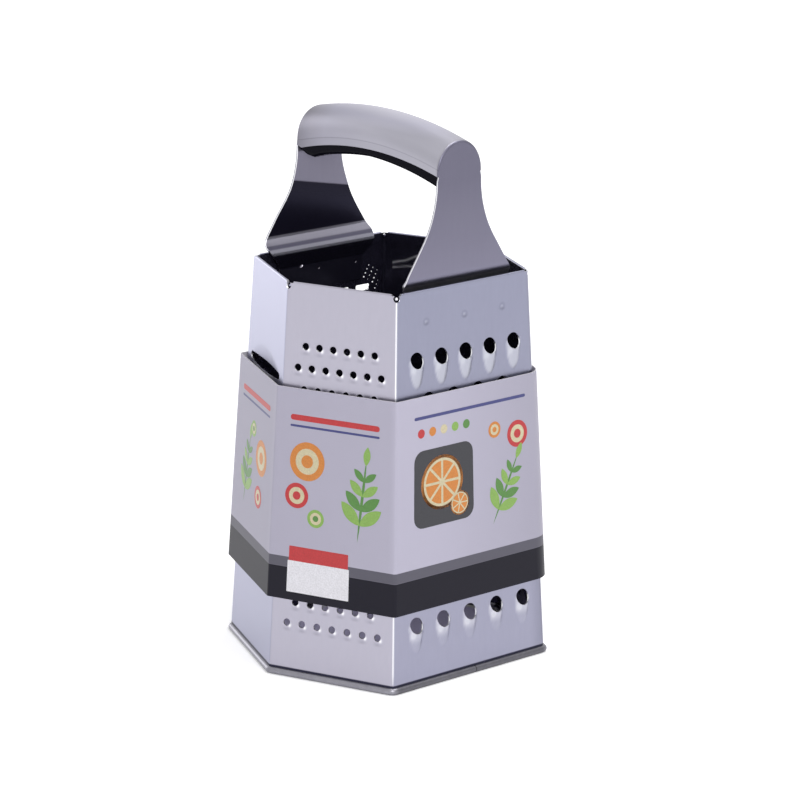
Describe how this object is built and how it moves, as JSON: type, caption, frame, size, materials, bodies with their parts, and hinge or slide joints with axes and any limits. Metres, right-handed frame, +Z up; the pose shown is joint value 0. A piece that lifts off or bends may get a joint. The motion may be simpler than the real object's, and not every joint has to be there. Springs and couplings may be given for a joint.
{
  "type": "box grater",
  "caption": "Tall six-sided steel kitchen grater with an arched steel strap handle, a rolled bottom rim and a printed card sleeve that lifts off.",
  "frame": {"origin": "centre of the footprint, on the table under the rolled rim", "axes": "+Z up along the height, X across the two faces that carry the handle and along the grip, Y across the two folded corners"},
  "size_m": [0.1152, 0.138, 0.2403],
  "materials": {
    "sheet_steel": "satin",
    "rim_steel": "satin",
    "strap_steel": "fine brushed",
    "liner_plastic": "gloss",
    "card": "coated print"
  },
  "bodies": {
    "grater": {"coarse_panel": "sheet_steel", "shaver_panel": "sheet_steel", "medium_panel": "sheet_steel", "zest_panel": "sheet_steel", "slicer_panel": "sheet_steel", "fine_panel": "sheet_steel", "bottom_rim": "rim_steel", "handle_strap": "strap_steel", "grip_liner": "liner_plastic"},
    "sleeve": {"card_sleeve": "card"}
  },
  "joints": [
    {"name": "sleeve_slide", "type": "slide", "parent": "grater", "child": "sleeve", "axis": [0, 0, 1], "range_m": [0, 0.207]}
  ]
}
